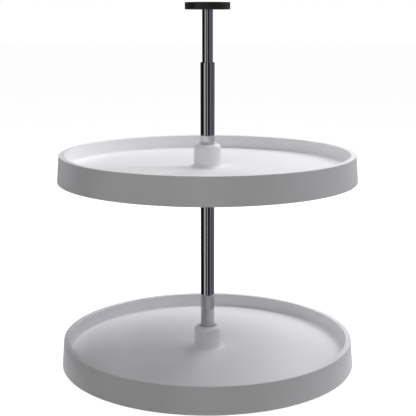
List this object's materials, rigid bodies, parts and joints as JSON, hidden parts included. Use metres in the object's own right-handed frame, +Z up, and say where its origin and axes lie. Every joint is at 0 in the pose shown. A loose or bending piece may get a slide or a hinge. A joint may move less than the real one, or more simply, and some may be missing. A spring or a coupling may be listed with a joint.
{
  "type": "two-tray rotating shelf set on a telescoping post",
  "caption": "Round rimmed shelf trays that turn on ball bearings around a telescoping chromed post with round screw-on end flanges, for the inside of a corner cupboard.",
  "frame": {"origin": "centre of the base flange's underside, on the cupboard floor", "axes": "+Z up along the post; the trays are round, so X and Y are free, with one pair of base screw holes in the +X +Y quarter"},
  "size_m": [0.6094, 0.6094, 0.7572],
  "materials": {
    "tray_polymer": "white moulded polymer, fine matt texture",
    "chrome_tube": "bright chromed steel tube",
    "black_nylon": "black moulded nylon, satin",
    "white_acetal": "white acetal, smooth",
    "bearing_steel": "ground and polished steel",
    "cage_nylon": "natural nylon",
    "cast_zinc": "die-cast zinc, bright passivated",
    "black_screw_steel": "black oxide",
    "zinc_plated_steel": "zinc plated",
    "lock_nylon": "moulded natural nylon"
  },
  "bodies": {
    "fixed_post": {"base_flange": "black_nylon", "base_set_screw": "black_screw_steel", "outer_tube": "chrome_tube", "guide_bush": "black_nylon"},
    "lower_support": {"lower_collar": "cast_zinc", "lower_collar_screws": "black_screw_steel", "lower_bottom_race": "bearing_steel"},
    "lower_cage": {"lower_ball_cage": "cage_nylon", "lower_balls": "bearing_steel"},
    "lower_shelf": {"lower_tray": "tray_polymer", "lower_top_race": "bearing_steel", "lower_seat_bush": "white_acetal", "lower_crown_bush": "white_acetal"},
    "upper_support": {"upper_collar": "cast_zinc", "upper_collar_screws": "black_screw_steel", "upper_bottom_race": "bearing_steel"},
    "upper_cage": {"upper_ball_cage": "cage_nylon", "upper_balls": "bearing_steel"},
    "upper_shelf": {"upper_tray": "tray_polymer", "upper_top_race": "bearing_steel", "upper_seat_bush": "white_acetal", "upper_crown_bush": "white_acetal"},
    "lock_grip": {"grip_sleeve": "lock_nylon"},
    "lock_cone": {"lock_wedge": "lock_nylon"},
    "sliding_post": {"inner_tube": "chrome_tube", "lock_spindle": "lock_nylon", "spindle_nut": "black_screw_steel", "top_plug": "lock_nylon", "swivel_washer": "zinc_plated_steel", "swivel_screw": "black_screw_steel"},
    "ceiling_flange": {"top_flange": "black_nylon"}
  },
  "joints": [
    {"name": "lower_shelf_height", "type": "slide", "parent": "fixed_post", "child": "lower_support", "axis": [0, 0, 1], "range_m": [0, 0.06]},
    {"name": "lower_shelf_turn", "type": "hinge", "parent": "lower_support", "child": "lower_shelf", "pos_m": [0, 0, 0.049], "axis": [0, 0, 1], "continuous": true},
    {"name": "lower_cage_turn", "type": "hinge", "parent": "lower_support", "child": "lower_cage", "pos_m": [0, 0, 0.045], "axis": [0, 0, 1], "continuous": true},
    {"name": "upper_shelf_height", "type": "slide", "parent": "fixed_post", "child": "upper_support", "axis": [0, 0, 1], "range_m": [-0.12, 0.12]},
    {"name": "upper_shelf_turn", "type": "hinge", "parent": "upper_support", "child": "upper_shelf", "pos_m": [0, 0, 0.434], "axis": [0, 0, 1], "continuous": true},
    {"name": "upper_cage_turn", "type": "hinge", "parent": "upper_support", "child": "upper_cage", "pos_m": [0, 0, 0.43], "axis": [0, 0, 1], "continuous": true},
    {"name": "post_height", "type": "slide", "parent": "fixed_post", "child": "lock_grip", "axis": [0, 0, 1], "range_m": [-0.095, 0.045]},
    {"name": "post_twist", "type": "hinge", "parent": "lock_grip", "child": "sliding_post", "pos_m": [0, 0, 0.48], "axis": [0, 0, 1], "range_deg": [0, 540]},
    {"name": "lock_cone_travel", "type": "slide", "parent": "lock_grip", "child": "lock_cone", "axis": [0, 0, 1], "range_m": [-0.0031, 0]},
    {"name": "flange_swivel", "type": "hinge", "parent": "sliding_post", "child": "ceiling_flange", "pos_m": [0, 0, 0.7572], "axis": [0, 0, 1], "continuous": true}
  ],
  "couplings": [
    {"joint": "lower_cage_turn", "follows": "lower_shelf_turn", "ratio": 0.5},
    {"joint": "upper_cage_turn", "follows": "upper_shelf_turn", "ratio": 0.5},
    {"joint": "lock_cone_travel", "follows": "post_twist", "m_per_rad": -0.00031831}
  ]
}
